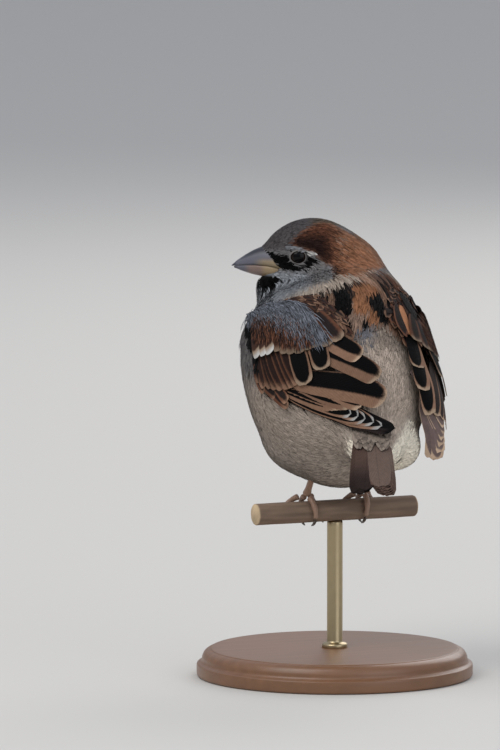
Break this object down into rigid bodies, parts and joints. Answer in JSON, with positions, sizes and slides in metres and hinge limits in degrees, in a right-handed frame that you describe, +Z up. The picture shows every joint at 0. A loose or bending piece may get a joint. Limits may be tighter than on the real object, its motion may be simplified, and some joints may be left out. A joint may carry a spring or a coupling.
{
  "type": "perched house sparrow model",
  "caption": "Still life-size museum-type model of a perched male house sparrow, fluffed, head turned to its left, on a cut twig and a round stand.",
  "frame": {"origin": "centre of the stand base's flat underside", "axes": "+Z up, the bird's body heads along -Y, its left side is +X"},
  "size_m": [0.088, 0.1109, 0.1447],
  "materials": {
    "plumage": "matte feathers, rufous, black, grey and buff",
    "bill_horn": "satin horn",
    "eye": "wet gloss",
    "claw_horn": "satin horn",
    "leg_scales": "satin scaled skin",
    "bark": "dry bark, cut ends",
    "stand_wood": "satin lacquered hardwood",
    "stand_metal": "satin"
  },
  "bodies": {
    "root": {"bill_lower": "bill_horn", "bill_upper": "bill_horn", "claw_left_1": "claw_horn", "claw_left_2": "claw_horn", "claw_left_3": "claw_horn", "claw_left_4": "claw_horn", "claw_right_1": "claw_horn", "claw_right_2": "claw_horn", "claw_right_3": "claw_horn", "claw_right_4": "claw_horn", "eye_left": "eye", "eye_right": "eye", "head": "plumage", "leg_left": "plumage", "leg_right": "plumage", "neck": "plumage", "perch_twig": "bark", "rump": "plumage", "stand_base": "stand_wood", "stand_rod": "stand_metal", "tail_centre": "plumage", "tail_left": "plumage", "tail_right": "plumage", "tarsus_left": "leg_scales", "tarsus_right": "leg_scales", "toe_left_1": "leg_scales", "toe_left_2": "leg_scales", "toe_left_3": "leg_scales", "toe_left_4": "leg_scales", "toe_right_1": "leg_scales", "toe_right_2": "leg_scales", "toe_right_3": "leg_scales", "toe_right_4": "leg_scales", "trunk": "plumage", "wing_left_primaries": "plumage", "wing_left_shoulder": "plumage", "wing_left_tertials": "plumage", "wing_right_primaries": "plumage", "wing_right_shoulder": "plumage", "wing_right_tertials": "plumage"}
  },
  "joints": []
}
